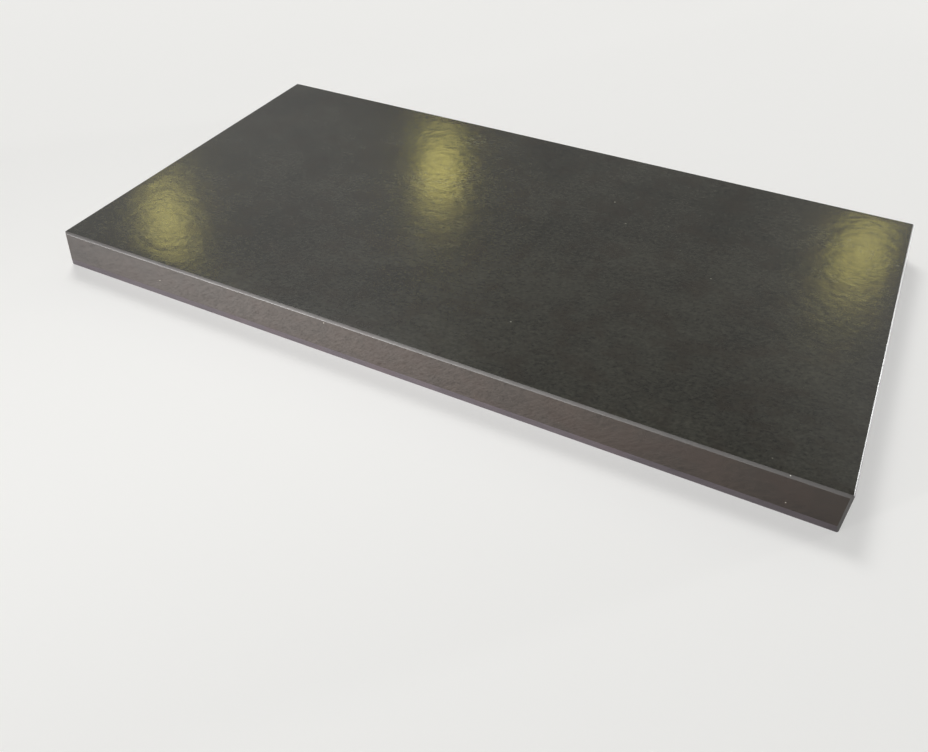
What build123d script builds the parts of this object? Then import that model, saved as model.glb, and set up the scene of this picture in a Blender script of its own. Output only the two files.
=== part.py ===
from build123d import *
import os

# Sliding vane of a dry-running rotary compressor, one flat plate of carbon-graphite.
# Millimetres. X runs along the vane's length, Y across its width and Z through its thickness.
# The vane lies flat on its lower face. The origin is the middle of the footprint, with Z up.
# The tip, which sweeps the housing wall, is the long edge on the -Y side.

# Size of the blank after grinding
vane_length = 95.0
vane_width = 55.0
vane_thickness = 5.0

# Tip: a shallow ground bevel under the front edge and a narrow edge break above it
tip_bevel_height = 1.0
tip_bevel_depth = 0.25
tip_edge_break = 0.25

# Root: the long edge that stays down in the rotor slot, broken alike above and below
root_edge_break = 0.25

# Ends: the short edges that run along the end plates, and the four upright corners
end_edge_break = 0.15
corner_break = 0.3


def cross_section():
    """Outline across the vane, seen along its length, with the tip at the left."""
    tip_y = -vane_width / 2
    root_y = vane_width / 2
    top_z = vane_thickness
    return Polyline(
        (tip_y + tip_bevel_depth, 0),
        (root_y - root_edge_break, 0),
        (root_y, root_edge_break),
        (root_y, top_z - root_edge_break),
        (root_y - root_edge_break, top_z),
        (tip_y + tip_edge_break, top_z),
        (tip_y, top_z - tip_edge_break),
        (tip_y, tip_bevel_height),
        close=True,
    )


def ground_bar():
    """The cross-section carried over the whole length."""
    section = make_face(Plane.YZ * cross_section())
    return extrude(section, amount=vane_length / 2, both=True)


def end_envelope():
    """What the end grinding leaves: a block whose short top and bottom edges are broken."""
    side_view = Plane.XZ * Location((0, vane_thickness / 2)) * Rectangle(vane_length, vane_thickness)
    side_view = chamfer(side_view.vertices(), end_edge_break)
    return extrude(side_view, amount=vane_width, both=True)


def corner_envelope():
    """What the corner breaks leave: the rectangular outline with its four corners cut."""
    outline = chamfer(Rectangle(vane_length, vane_width).vertices(), corner_break)
    return extrude(outline, amount=vane_thickness)


vane = ground_bar() & end_envelope() & corner_envelope()
vane.label = "vane"

os.makedirs("parts", exist_ok=True)
export_step(vane, "parts/vane.step")
print("volume mm3", round(vane.volume, 1))
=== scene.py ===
import math

import bmesh
import bpy
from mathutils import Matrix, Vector


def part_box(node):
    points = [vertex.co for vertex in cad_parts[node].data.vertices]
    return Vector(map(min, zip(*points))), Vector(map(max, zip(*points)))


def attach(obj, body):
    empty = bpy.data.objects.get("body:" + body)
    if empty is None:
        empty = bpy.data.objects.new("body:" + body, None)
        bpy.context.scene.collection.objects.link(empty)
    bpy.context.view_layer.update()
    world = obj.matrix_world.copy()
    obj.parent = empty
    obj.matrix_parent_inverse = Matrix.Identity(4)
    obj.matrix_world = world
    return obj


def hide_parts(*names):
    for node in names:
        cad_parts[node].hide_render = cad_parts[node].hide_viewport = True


# One flat sliding vane of ground carbon-graphite, lying on a pale table.
# Metres, X along the vane, Y across it from the tip edge to the root edge, Z up.

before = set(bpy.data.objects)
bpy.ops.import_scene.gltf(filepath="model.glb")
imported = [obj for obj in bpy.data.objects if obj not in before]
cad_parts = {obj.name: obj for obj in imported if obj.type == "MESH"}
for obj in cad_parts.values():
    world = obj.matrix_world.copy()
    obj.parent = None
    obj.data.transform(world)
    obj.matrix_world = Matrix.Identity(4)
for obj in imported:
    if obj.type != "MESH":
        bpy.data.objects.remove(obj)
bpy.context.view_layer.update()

mm = 0.001
vaneLow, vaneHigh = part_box("vane")


def srgb(hexCode):
    # a web colour turned into the linear one that a shader wants
    channels = [int(hexCode[i:i + 2], 16) / 255 for i in (1, 3, 5)]
    linear = [c / 12.92 if c <= 0.04045 else ((c + 0.055) / 1.055) ** 2.4 for c in channels]
    return (*linear, 1.0)


def addNode(tree, kind, links=None, **settings):
    # links and values go to inputs, by name or number, and the settings to the node itself
    node = tree.nodes.new(kind)
    values = settings.pop("values", {})
    for name, value in settings.items():
        setattr(node, name, value)
    for socket, value in values.items():
        node.inputs[socket].default_value = value
    for socket, source in (links or {}).items():
        tree.links.new(source, node.inputs[socket])
    return node


# Materials. Resin-bonded carbon-graphite is nearly black and faintly olive. Its skin of resin and
# graphite mirrors softly where it is lapped, and turns satin where a wheel or a stone has cut it.

lappedFinish = {           # the two large faces, ground flat and then lapped
    "darkHex": "#11100D",
    "lightHex": "#424139",
    "tintHex": "#2C261F",  # brown of the resin, in soft patches
    "tintShare": 0.5,
    "cloudMm": 9.0,        # size of the soft clouds of tone
    "grainMm": 0.50,       # about four times coarser than the real grit, so that it shows
    "scratchMm": 0.28,     # width of the short curved lapping marks
    "scratchRun": 3.2,     # how many times longer than wide they are
    "scratchTurns": (-12.0, -50.0),
    "scratchBend": 1.0,    # mm by which they curve
    "scratchShare": 0.5,
    "fineShare": 0.7,      # share of the tone that goes with the grain, the rest with the clouds
    "roughLow": 0.146,
    "roughHigh": 0.178,
    "waveMm": 1.5,         # the widest waves of the relief, with ever finer ones on them
    "reliefMm": 0.022,
    "fleckMm": 5.0,
    "fleckReach": 0.028,
    "fleckHex": "#8E8C80",
    "ior": 1.45,
}
tipFinishAndPaintedShade = {              # the long edges and the ends, ground across with a coarser wheel; their dark brown colours are partly the graphite's own and partly painted shade and a painted reflection of a brown table
    # painted shade: these colours are darker and browner than the lapped faces, and stand in for shade
    # and a brown reflection
    "darkHex": "#150F0A",
    "lightHex": "#251B13",
    "tintHex": "#21160F",
    "tintShare": 0.6,
    "cloudMm": 5.0,
    "grainMm": 0.26,
    "scratchMm": 0.17,
    "scratchRun": 11.0,
    "scratchTurns": (32.0, 48.0),
    "scratchBend": 0.4,
    "scratchShare": 0.6,
    "fineShare": 0.7,
    "roughLow": 0.37,
    "roughHigh": 0.61,
    "waveMm": 1.2,
    "reliefMm": 0.020,
    "fleckMm": 3.0,
    "fleckReach": 0.03,
    "fleckHex": "#8C867C",
    "ior": 1.50,
}
bevelFinishAndPaintedReflection = {            # the lower bevel of the tip, ground lengthways with a finer wheel; its lighter, purplish colours are partly the graphite's own and partly a painted reflection
    # painted reflection: these colours are lighter than the tip face's, and stand in for what the bevel
    # mirrors
    "darkHex": "#262024",
    "lightHex": "#3A3337",
    "tintHex": "#352B2E",
    "tintShare": 0.5,
    "cloudMm": 6.0,
    "grainMm": 0.24,
    "scratchMm": 0.14,
    "scratchRun": 16.0,
    "scratchTurns": (0.0, 2.0),
    "scratchBend": 0.1,
    "scratchShare": 0.6,
    "fineShare": 0.6,
    "roughLow": 0.46,
    "roughHigh": 0.58,
    "waveMm": 1.2,
    "reliefMm": 0.012,
    "fleckMm": 3.0,
    "fleckReach": 0.03,
    "fleckHex": "#8C867C",
    "ior": 1.55,
}
brokenFinishAndPaintedHighlight = {           # the narrow breaks along the edges, rubbed smooth by a stone; their pale colour and pale flecks are partly stone wear and partly a painted highlight
    # painted highlight: these colours and the pale flecks are lighter than the faces, partly from wear
    # and partly to stand in for the bright edges
    "darkHex": "#302E2D",
    "lightHex": "#43403E",
    "tintHex": "#3C3736",
    "tintShare": 0.5,
    "cloudMm": 4.0,
    "grainMm": 0.22,
    "scratchMm": 0.12,
    "scratchRun": 12.0,
    "scratchTurns": (0.0, 3.0),
    "scratchBend": 0.2,
    "scratchShare": 0.6,
    "fineShare": 0.7,
    "roughLow": 0.41,
    "roughHigh": 0.51,
    "waveMm": 1.0,
    "reliefMm": 0.010,
    "fleckMm": 2.0,
    "fleckReach": 0.04,
    "fleckHex": "#B8B6AE",
    "ior": 1.65,
}
patternShape = {           # the same for every finish
    "bendMm": 2.4,         # how soon a mark changes its curve
    "patchMm": 3.2,        # size of the patches of resin
    "patches": (0.48, 0.66),      # noise levels from which and to which each pattern fades in
    "fine": (0.37, 0.67),
    "clouds": (0.35, 0.65),
    "roughness": (0.34, 0.7),
    "markRelief": 0.08,    # share of the marks in the relief, the rest goes with the waves
    "fleckCore": 0.4,      # share of a fleck that is full colour
}


def carbonGraphite(name, look, faceTurn):
    # faceTurn lays the pattern's plane into the face: degrees about X, Y and Z
    material = bpy.data.materials.new(name)
    material.use_nodes = True
    tree = material.node_tree
    tree.nodes.clear()

    def noise(vector, size, detail=2.0, rough=0.6):
        return addNode(tree, "ShaderNodeTexNoise", {"Vector": vector},
                       values={"Scale": 1 / size, "Detail": detail, "Roughness": rough}).outputs

    def ramp(value, levels, start=0.0, end=1.0):
        return addNode(tree, "ShaderNodeMapRange", {"Value": value},
                       values={"From Min": levels[0], "From Max": levels[1],
                               "To Min": start, "To Max": end}).outputs["Result"]

    def blend(share, first, second):
        links = {"A": first, "B": second}
        values = {}
        if isinstance(share, float):
            values["Factor"] = share
        else:
            links["Factor"] = share
        return addNode(tree, "ShaderNodeMix", links, values=values).outputs["Result"]

    place = addNode(tree, "ShaderNodeTexCoord").outputs["Object"]
    inMm = addNode(tree, "ShaderNodeMapping", {"Vector": place},
                   values={"Scale": (1 / mm,) * 3,
                           "Rotation": [math.radians(a) for a in faceTurn]}).outputs["Vector"]

    # marks of the grit: short, slightly curved, in two crossing directions
    bend = noise(inMm, patternShape["bendMm"], 1.0)["Color"]
    centred = addNode(tree, "ShaderNodeVectorMath", {0: bend}, operation="SUBTRACT",
                      values={1: (0.5, 0.5, 0.5)})
    bent = addNode(tree, "ShaderNodeVectorMath", {0: centred.outputs["Vector"], 2: inMm},
                   operation="MULTIPLY_ADD", values={1: (look["scratchBend"] * 2,) * 3})
    across = 1 / look["scratchMm"]
    marks = []
    for turn in look["scratchTurns"]:
        turned = addNode(tree, "ShaderNodeMapping", {"Vector": bent.outputs["Vector"]},
                         values={"Rotation": (0, 0, math.radians(turn))})
        drawn = addNode(tree, "ShaderNodeMapping", {"Vector": turned.outputs["Vector"]},
                        values={"Scale": (across / look["scratchRun"], across, across)})
        marks.append(noise(drawn.outputs["Vector"], 1.0, 1.5)["Fac"])
    scratches = addNode(tree, "ShaderNodeMath", {0: marks[0], 1: marks[1]}, operation="MAXIMUM")
    grain = noise(inMm, look["grainMm"], 3.0, 0.7)["Fac"]
    surface = blend(look["scratchShare"], grain, scratches.outputs["Value"])

    # tone: soft clouds with the grain over them, then patches of resin brown, then the flecks
    fine = ramp(surface, patternShape["fine"])
    clouds = ramp(noise(inMm, look["cloudMm"], 3.0)["Fac"], patternShape["clouds"])
    mottle = blend(look["fineShare"], clouds, fine)
    tone = addNode(tree, "ShaderNodeMix", {"Factor": mottle}, data_type="RGBA",
                   values={"A": srgb(look["darkHex"]), "B": srgb(look["lightHex"])})
    resin = noise(inMm, patternShape["patchMm"])["Fac"]
    patches = ramp(resin, patternShape["patches"], 0.0, look["tintShare"])
    warmed = addNode(tree, "ShaderNodeMix", {"Factor": patches, "A": tone.outputs["Result"]},
                     data_type="RGBA", values={"B": srgb(look["tintHex"])})
    cells = addNode(tree, "ShaderNodeTexVoronoi", {"Vector": inMm},
                    values={"Scale": 1 / look["fleckMm"], "Randomness": 1.0})
    fleckLevels = (look["fleckReach"], look["fleckReach"] * patternShape["fleckCore"])
    fleck = ramp(cells.outputs["Distance"], fleckLevels)
    colour = addNode(tree, "ShaderNodeMix", {"Factor": fleck, "A": warmed.outputs["Result"]},
                     data_type="RGBA", values={"B": srgb(look["fleckHex"])})

    # the sheen and the small waves, which break a reflection into a mottle
    rough = ramp(surface, patternShape["roughness"], look["roughLow"], look["roughHigh"])
    waves = noise(inMm, look["waveMm"], 2.5, 0.55)["Fac"]
    height = blend(patternShape["markRelief"], waves, scratches.outputs["Value"])
    relief = addNode(tree, "ShaderNodeBump", {"Height": height},
                     values={"Strength": 1.0, "Distance": look["reliefMm"] * mm})
    shader = addNode(tree, "ShaderNodeBsdfPrincipled",
                     {"Base Color": colour.outputs["Result"], "Roughness": rough,
                      "Normal": relief.outputs["Normal"]},
                     values={"IOR": look["ior"], "Metallic": 0.0})
    output = addNode(tree, "ShaderNodeOutputMaterial")
    tree.links.new(shader.outputs["BSDF"], output.inputs["Surface"])
    return material


flatOnTop = (0, 0, 0)
flatOnTip = (90, 0, 0)
lappedCarbon = carbonGraphite("lappedCarbonGraphite", lappedFinish, flatOnTop)
# the ground faces' colours are partly painted shade and a painted brown reflection
groundCarbonWithPaintedShade = carbonGraphite("groundGraphiteWithPaintedShade", tipFinishAndPaintedShade, flatOnTip)
# the bevel's colours are partly a painted reflection
bevelledCarbonWithPaintedReflection = carbonGraphite("finelyGroundGraphiteWithPaintedReflection", bevelFinishAndPaintedReflection, flatOnTip)
# the breaks' colours are partly a painted highlight
brokenCarbonWithPaintedHighlight = carbonGraphite("stonedGraphiteWithPaintedHighlight", brokenFinishAndPaintedHighlight, flatOnTop)
print("materials made")


# The vane's own mesh, from the solid's flat facets

vaneMesh = {
    "roundMm": 0.022,      # what a stone leaves on each arris
    "roundSteps": 2,
    "cellMm": 1.0,         # mesh spacing over the faces
    "ripple": 0.0012,      # mm of flatness error over the large faces
    "rippleSize": 14.0,    # mm from crest to crest
    "waver": 0.018,        # mm by which a hand-dressed break wanders
    "waverSize": 3.5,
    "seed": 7,
    "weldMm": 0.001,
    "flatTurn": 0.5,       # facets that turn by fewer degrees than this are one face
    "arrisTurn": 5.0,      # edges that turn by more are rounded
    "lappedFrom": 0.995,   # how squarely a face looks up or down, and counts as lapped
    "groundFrom": 0.93,    # how squarely it looks sideways, and counts as ground
    "bevelledTo": -0.15,   # how far down a ground face looks, and counts as the bevel
}


def plateFromSolid():
    shape = bmesh.new()
    shape.from_mesh(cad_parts["vane"].data)
    bmesh.ops.remove_doubles(shape, verts=shape.verts, dist=vaneMesh["weldMm"] * mm)
    bmesh.ops.dissolve_limit(shape, angle_limit=math.radians(vaneMesh["flatTurn"]),
                             verts=shape.verts, edges=shape.edges)
    arrisTurn = math.radians(vaneMesh["arrisTurn"])
    arrises = [e for e in shape.edges if e.calc_face_angle(0) > arrisTurn]
    bmesh.ops.bevel(shape, geom=arrises, offset=vaneMesh["roundMm"] * mm, affect="EDGES",
                    segments=vaneMesh["roundSteps"], profile=0.5, clamp_overlap=True)
    return shape


def cutIntoCells(shape, axis, low, high):
    # evenly spaced cuts along one axis, so that the faces have points to move
    count = round((high - low) / (vaneMesh["cellMm"] * mm))
    for i in range(1, count):
        place = Vector((0, 0, 0))
        place[axis] = low + (high - low) * i / count
        normal = Vector((0, 0, 0))
        normal[axis] = 1
        bmesh.ops.bisect_plane(shape, geom=shape.verts[:] + shape.edges[:] + shape.faces[:],
                               plane_co=place, plane_no=normal, dist=1e-7)


plate = plateFromSolid()
cutIntoCells(plate, 0, vaneLow.x, vaneHigh.x)
cutIntoCells(plate, 1, vaneLow.y, vaneHigh.y)
vaneData = bpy.data.meshes.new("vanePlate")
plate.to_mesh(vaneData)
plate.free()
for face in vaneData.polygons:
    face.use_smooth = True
vane = bpy.data.objects.new("vanePlate", vaneData)
bpy.context.scene.collection.objects.link(vane)
print("plate cut,", len(vaneData.polygons), "faces")


def plateFinishTree():
    # moves the surface by what grinding and stoning leave, then gives each kind of face its finish; the
    # colours of the ground faces, the bevel and the breaks are partly painted light
    tree = bpy.data.node_groups.new("groundPlate", "GeometryNodeTree")
    sockets = tree.interface
    sockets.new_socket("Geometry", in_out="INPUT", socket_type="NodeSocketGeometry")
    for name in ("Ripple", "Ripple Size", "Waver", "Waver Size", "Seed"):
        sockets.new_socket(name, in_out="INPUT", socket_type="NodeSocketFloat")
    for name in ("Lapped", "Ground", "Bevelled", "Broken"):
        sockets.new_socket(name, in_out="INPUT", socket_type="NodeSocketMaterial")
    sockets.new_socket("Geometry", in_out="OUTPUT", socket_type="NodeSocketGeometry")
    given = addNode(tree, "NodeGroupInput").outputs

    place = addNode(tree, "GeometryNodeInputPosition").outputs["Position"]
    normal = addNode(tree, "GeometryNodeInputNormal").outputs["Normal"]
    facing = addNode(tree, "ShaderNodeSeparateXYZ", {"Vector": normal}).outputs
    upDown = addNode(tree, "ShaderNodeMath", {0: facing["Z"]}, operation="ABSOLUTE").outputs["Value"]
    endways = addNode(tree, "ShaderNodeMath", {0: facing["X"]}, operation="ABSOLUTE").outputs["Value"]
    across = addNode(tree, "ShaderNodeMath", {0: facing["Y"]}, operation="ABSOLUTE").outputs["Value"]
    isLapped = addNode(tree, "FunctionNodeCompare", {"A": upDown}, operation="GREATER_THAN",
                       values={"B": vaneMesh["lappedFrom"]}).outputs["Result"]
    isSide = addNode(tree, "ShaderNodeMath", {0: endways, 1: across}, operation="MAXIMUM")
    isGround = addNode(tree, "FunctionNodeCompare", {"A": isSide.outputs["Value"]},
                       operation="GREATER_THAN",
                       values={"B": vaneMesh["groundFrom"]}).outputs["Result"]
    isTilted = addNode(tree, "FunctionNodeCompare", {"A": facing["Z"]}, operation="LESS_THAN",
                       values={"B": vaneMesh["bevelledTo"]}).outputs["Result"]
    isBevelled = addNode(tree, "FunctionNodeBooleanMath", {0: isGround, 1: isTilted},
                         operation="AND").outputs["Boolean"]

    def field(size, seed):
        perMetre = addNode(tree, "ShaderNodeMath", {1: size}, operation="DIVIDE", values={0: 1.0})
        noise = addNode(tree, "ShaderNodeTexNoise", {"Vector": place, "W": seed,
                                                     "Scale": perMetre.outputs["Value"]},
                        noise_dimensions="4D", values={"Detail": 1.5})
        # from -1 to 0, so that a face only moves inwards
        return addNode(tree, "ShaderNodeMath", {0: noise.outputs["Fac"]}, operation="SUBTRACT",
                       values={1: 1.0}).outputs["Value"]

    def pushed(geometry, amount, reach, chosen):
        both = addNode(tree, "ShaderNodeMath", {0: amount, 1: reach}, operation="MULTIPLY")
        offset = addNode(tree, "ShaderNodeVectorMath", {0: normal, "Scale": both.outputs["Value"]},
                         operation="SCALE")
        return addNode(tree, "GeometryNodeSetPosition",
                       {"Geometry": geometry, "Selection": chosen,
                        "Offset": offset.outputs["Vector"]}).outputs["Geometry"]

    isBreak = addNode(tree, "FunctionNodeBooleanMath", {0: isLapped, 1: isGround},
                      operation="NOR").outputs["Boolean"]
    shaped = pushed(given["Geometry"], field(given["Waver Size"], given["Seed"]),
                    given["Waver"], isBreak)
    shaped = pushed(shaped, field(given["Ripple Size"], given["Seed"]), given["Ripple"], isLapped)
    finished = addNode(tree, "GeometryNodeSetMaterial",
                       {"Geometry": shaped, "Material": given["Broken"]}).outputs["Geometry"]
    finished = addNode(tree, "GeometryNodeSetMaterial",
                       {"Geometry": finished, "Selection": isGround,
                        "Material": given["Ground"]}).outputs["Geometry"]
    finished = addNode(tree, "GeometryNodeSetMaterial",
                       {"Geometry": finished, "Selection": isBevelled,
                        "Material": given["Bevelled"]}).outputs["Geometry"]
    solid = addNode(tree, "GeometryNodeRealizeInstances", {"Geometry": finished})
    finished = addNode(tree, "GeometryNodeSetMaterial",
                       {"Geometry": solid.outputs["Geometry"], "Selection": isLapped,
                        "Material": given["Lapped"]})
    result = addNode(tree, "NodeGroupOutput")
    tree.links.new(finished.outputs["Geometry"], result.inputs["Geometry"])
    return tree


def finishPlate(target):
    tree = plateFinishTree()
    modifier = target.modifiers.new("groundPlate", "NODES")
    modifier.node_group = tree
    inputs = {
        "Ripple": vaneMesh["ripple"] * mm,
        "Ripple Size": vaneMesh["rippleSize"] * mm,
        "Waver": vaneMesh["waver"] * mm,
        "Waver Size": vaneMesh["waverSize"] * mm,
        "Seed": float(vaneMesh["seed"]),
        "Lapped": lappedCarbon,
        "Ground": groundCarbonWithPaintedShade,
        "Bevelled": bevelledCarbonWithPaintedReflection,
        "Broken": brokenCarbonWithPaintedHighlight,
    }
    for item in tree.interface.items_tree:
        if item.in_out == "INPUT" and item.name in inputs:
            modifier[item.identifier] = inputs[item.name]
    weighted = target.modifiers.new("weightedNormals", "WEIGHTED_NORMAL")
    weighted.keep_sharp = False
    weighted.weight = 100
    evaluated = target.evaluated_get(bpy.context.evaluated_depsgraph_get())
    flat = bpy.data.meshes.new_from_object(evaluated)
    target.modifiers.clear()
    target.data = flat


finishPlate(vane)
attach(vane, "root")
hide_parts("vane")
print("vane finished,", len(vane.data.polygons), "faces,", [m.name for m in vane.data.materials])


# Table, lamps and camera

tableLook = {
    "hex": "#F1F0ED",
    "rough": 0.8,
    "glow": 0.39,          # how far towards plain white the camera and mirrors see it, past its shadow
    "flat": 1.5,           # metres from the middle to where the paper starts to curve up
    "sweep": 0.95,         # radius of the curve
    "riseTo": 72.0,        # degrees that the curve climbs
    "curveSteps": 8,
    "around": 96,
    "shine": 0.1,
}


def makeTable():
    # a round sheet of pale paper that curves up all round, far out and low
    rings = [0.0, 0.3, 0.8, tableLook["flat"]]
    profile = [(r, 0.0) for r in rings]
    for i in range(1, tableLook["curveSteps"] + 1):
        turn = math.radians(tableLook["riseTo"]) * i / tableLook["curveSteps"]
        profile.append((tableLook["flat"] + tableLook["sweep"] * math.sin(turn),
                        tableLook["sweep"] * (1 - math.cos(turn))))
    shape = bmesh.new()
    around = tableLook["around"]
    middle = shape.verts.new((0, 0, 0))
    loops = []
    for radius, height in profile[1:]:
        loops.append([shape.verts.new((radius * math.cos(math.tau * k / around),
                                       radius * math.sin(math.tau * k / around), height))
                      for k in range(around)])
    for k in range(around):
        nextK = (k + 1) % around
        shape.faces.new((middle, loops[0][k], loops[0][nextK]))
        for inner, outer in zip(loops, loops[1:]):
            shape.faces.new((inner[k], outer[k], outer[nextK], inner[nextK]))
    data = bpy.data.meshes.new("paperSweep")
    shape.to_mesh(data)
    shape.free()
    for face in data.polygons:
        face.use_smooth = True
    sweep = bpy.data.objects.new("paperSweep", data)
    bpy.context.scene.collection.objects.link(sweep)
    data.materials.append(palePaper())


def palePaper():
    # matt paper, which the camera and the vane's reflections see a little nearer to plain white
    paper = bpy.data.materials.new("palePaper")
    paper.use_nodes = True
    tree = paper.node_tree
    shader = tree.nodes["Principled BSDF"]
    shader.inputs["Base Color"].default_value = srgb(tableLook["hex"])
    shader.inputs["Roughness"].default_value = tableLook["rough"]
    shader.inputs["Specular IOR Level"].default_value = tableLook["shine"]
    ray = addNode(tree, "ShaderNodeLightPath").outputs
    seen = addNode(tree, "ShaderNodeMath", {0: ray["Is Camera Ray"], 1: ray["Is Glossy Ray"]},
                   operation="MAXIMUM")
    share = addNode(tree, "ShaderNodeMath", {0: seen.outputs["Value"]}, operation="MULTIPLY",
                    values={1: tableLook["glow"]})
    white = addNode(tree, "ShaderNodeEmission", values={"Strength": 1.0})
    mixed = addNode(tree, "ShaderNodeMixShader", {0: share.outputs["Value"],
                                                  1: shader.outputs["BSDF"],
                                                  2: white.outputs["Emission"]})
    tree.links.new(mixed.outputs["Shader"], tree.nodes["Material Output"].inputs["Surface"])
    return paper


skyLook = {
    "hex": "#F4F4F2",
    "strength": 0.25,
    # soft brighter places of the room: turn, degrees up, degrees from middle to rim, added strength
    "glows": {"leftGlow": (-42, 33, 20, 0.50), "middleGlow": (-15, 32, 18, 0.20),
              "rightGlow": (14, 30, 18, 0.60), "frontGlow": (-185, 48, 26, 2.0)},
}
lampLook = {
    # compass turn from +Y towards +X, degrees above the table, mm away, mm wide and high, watts
    "backSoftbox": {"turn": -45, "rise": 54, "reach": 1200, "size": (390, 390), "watts": 6.2},
    "rimStrip": {"turn": 43, "rise": 3, "reach": 1200, "size": (100, 50), "watts": 8.0},
}
tipSpotLook = {            # a narrow spot, low at the left, that grazes the table and lights the tip
    "turn": -146,
    "rise": 2.2,
    "reach": 1750,
    "aim": (-10, -27, 2),
    "cone": 3.8,           # degrees from rim to rim
    "radius": 30,
    "watts": 520.0,
}
warmLook = {"width": 34.0, "reach": 700.0, "hex": "#FFF285"}
softboxAim = (0, 0, 2.5)
warmSpots = {              # where on the top face each small warm lamp shows, in mm, and its watts
    "warmLeft": (-37.4, -19.1, 0.029),
    "warmMiddle": (-12.5, 10.4, 0.032),
    "warmRight": (42.5, 15.9, 0.0255),
}
cameraLook = {
    "place": (37.9, -98.1, 66.5),
    "aim": (1.9, -33.2, 5.0),
    "lens": 36.0,
    "sensor": 36.0,
    "shiftX": 0.091,
    "near": 0.005,         # metres
    "far": 20.0,
}


def towards(turn, rise):
    # unit vector for a compass turn from +Y towards +X, and degrees above the table
    turn, rise = math.radians(turn), math.radians(rise)
    return Vector((math.sin(turn) * math.cos(rise), math.cos(turn) * math.cos(rise), math.sin(rise)))


def makeSky():
    # an even pale room with a few soft glows, whose strengths are added up
    world = bpy.data.worlds.new("paleRoom")
    bpy.context.scene.world = world
    world.use_nodes = True
    background = world.node_tree.nodes["Background"]
    background.inputs["Color"].default_value = srgb(skyLook["hex"])
    tree = world.node_tree
    direction = addNode(tree, "ShaderNodeTexCoord").outputs["Generated"]
    total = None
    for turn, rise, across, strength in skyLook["glows"].values():
        nearness = addNode(tree, "ShaderNodeVectorMath", {0: direction}, operation="DOT_PRODUCT",
                           values={1: towards(turn, rise)}).outputs["Value"]
        glow = addNode(tree, "ShaderNodeMapRange", {"Value": nearness}, interpolation_type="SMOOTHSTEP",
                       values={"From Min": math.cos(math.radians(across)), "From Max": 1.0,
                               "To Min": 0.0, "To Max": strength}).outputs["Result"]
        plus = addNode(tree, "ShaderNodeMath", {0: glow}, operation="ADD",
                       values={1: skyLook["strength"]})
        if total is not None:
            tree.links.new(total, plus.inputs[1])
        total = plus.outputs["Value"]
    tree.links.new(total, background.inputs["Strength"])


def stand(thing, place, aim):
    # puts a lamp or the camera at a place in mm, turned towards the aim
    thing.location = Vector(place) * mm
    thing.rotation_euler = ((Vector(aim) - Vector(place)) * mm).to_track_quat("-Z", "Y").to_euler()
    bpy.context.scene.collection.objects.link(thing)


def makeAreaLamp(name, shape, place, aim, size, watts, hexCode="#FFFFFF"):
    data = bpy.data.lights.new(name, "AREA")
    data.shape = shape
    data.size, data.size_y = size[0] * mm, size[1] * mm
    data.energy = watts
    data.color = srgb(hexCode)[:3]
    lamp = bpy.data.objects.new(name, data)
    lamp.visible_camera = False
    stand(lamp, place, aim)


def makeSoftbox(name, look):
    place = towards(look["turn"], look["rise"]) * look["reach"]
    makeAreaLamp(name, "RECTANGLE", place, softboxAim, look["size"], look["watts"])


def makeTipSpot():
    data = bpy.data.lights.new("tipSpot", "SPOT")
    data.energy = tipSpotLook["watts"]
    data.spot_size = math.radians(tipSpotLook["cone"])
    data.spot_blend = 1.0
    data.shadow_soft_size = tipSpotLook["radius"] * mm
    spot = bpy.data.objects.new("tipSpot", data)
    spot.visible_camera = False
    place = towards(tipSpotLook["turn"], tipSpotLook["rise"]) * tipSpotLook["reach"]
    stand(spot, place, tipSpotLook["aim"])


def makeWarmLamp(name, x, y, watts):
    # stands where the top face mirrors it towards the camera from that spot, in mm
    seen = Vector((x, y, vaneHigh.z / mm))
    fromCamera = (seen - Vector(cameraLook["place"])).normalized()
    mirrored = Vector((fromCamera.x, fromCamera.y, -fromCamera.z))
    place = seen + mirrored * warmLook["reach"]
    makeAreaLamp(name, "DISK", place, seen, (warmLook["width"],) * 2, watts, warmLook["hex"])


def makeCamera():
    data = bpy.data.cameras.new("camera")
    data.sensor_width = cameraLook["sensor"]
    data.lens = cameraLook["lens"]
    data.shift_x = cameraLook["shiftX"]
    data.clip_start = cameraLook["near"]
    data.clip_end = cameraLook["far"]
    camera = bpy.data.objects.new("camera", data)
    stand(camera, cameraLook["place"], cameraLook["aim"])
    bpy.context.scene.camera = camera


makeTable()
makeSky()
for name, look in lampLook.items():
    makeSoftbox(name, look)
makeTipSpot()
for name, spot in warmSpots.items():
    makeWarmLamp(name, *spot)
makeCamera()
bpy.context.scene.view_settings.view_transform = "Standard"
print("table, lamps and camera placed")
